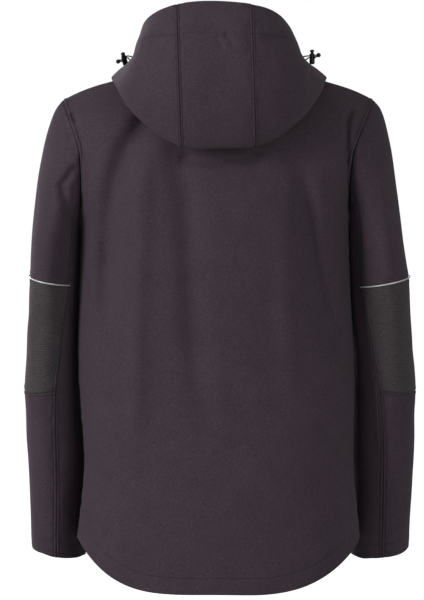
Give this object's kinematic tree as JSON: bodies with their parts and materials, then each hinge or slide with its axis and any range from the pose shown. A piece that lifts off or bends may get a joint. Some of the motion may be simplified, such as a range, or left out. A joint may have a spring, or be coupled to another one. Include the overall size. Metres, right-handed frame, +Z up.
{
  "type": "softshell jacket",
  "caption": "Hooded softshell jacket, filled out as if worn, with the hood down, set-in sleeves with elbow patches and reflective piping, and a curved drop-tail hem.",
  "frame": {"origin": "middle of the neck at the height where the shoulder seams meet the neckline, where the wearer's neck and shoulders hold the jacket up", "axes": "+Z up; the jacket faces -Y, so its back, which the picture shows, faces +Y; +X towards the wearer's left"},
  "size_m": [0.5829, 0.3084, 0.8751],
  "materials": {
    "softshell": "matte, fine dense weave",
    "elbow_cloth": "matte, coarse ribbed weave",
    "reflective_piping": "smooth, retroreflective",
    "zip_tape": "matte, woven",
    "drawcord": "matte, braided elastic",
    "black_plastic": "satin",
    "dark_metal": "satin"
  },
  "bodies": {
    "jacket": {"back_panel": "softshell", "front_left": "softshell", "front_right": "softshell", "collar": "softshell", "hood_centre": "softshell", "upper_sleeve_left": "softshell", "lower_sleeve_left": "softshell", "under_sleeve_left": "softshell", "hood_side_left": "softshell", "upper_sleeve_right": "softshell", "lower_sleeve_right": "softshell", "under_sleeve_right": "softshell", "hood_side_right": "softshell", "elbow_patch_left": "elbow_cloth", "elbow_patch_right": "elbow_cloth", "piping_left": "reflective_piping", "piping_right": "reflective_piping", "zip_tape_left": "zip_tape", "zip_tape_right": "zip_tape", "cord_left_upper": "drawcord", "cord_left_lower": "drawcord", "cord_right_upper": "drawcord", "cord_right_lower": "drawcord", "zip_chain": "black_plastic", "zip_box": "black_plastic", "lock_barrel_left": "black_plastic", "cord_end_left": "black_plastic", "lock_barrel_right": "black_plastic", "cord_end_right": "black_plastic", "zip_slider": "dark_metal", "eyelet_left_upper": "dark_metal", "eyelet_left_lower": "dark_metal", "eyelet_right_upper": "dark_metal", "eyelet_right_lower": "dark_metal"},
    "pull_tab": {"pull_tab": "dark_metal"},
    "plunger_left": {"lock_plunger_left": "black_plastic"},
    "plunger_right": {"lock_plunger_right": "black_plastic"}
  },
  "joints": [
    {"name": "pull_tab_swing", "type": "hinge", "parent": "jacket", "child": "pull_tab", "pos_m": [-0.0022, -0.08945, -0.03529], "axis": [-1, 0, 0], "range_deg": [0, 160]},
    {"name": "plunger_left_press", "type": "slide", "parent": "jacket", "child": "plunger_left", "axis": [-0.2001, -0.5504, -0.8106], "range_m": [0, 0.0022]},
    {"name": "plunger_right_press", "type": "slide", "parent": "jacket", "child": "plunger_right", "axis": [0, -0.1203, -0.9927], "range_m": [0, 0.0022]}
  ]
}
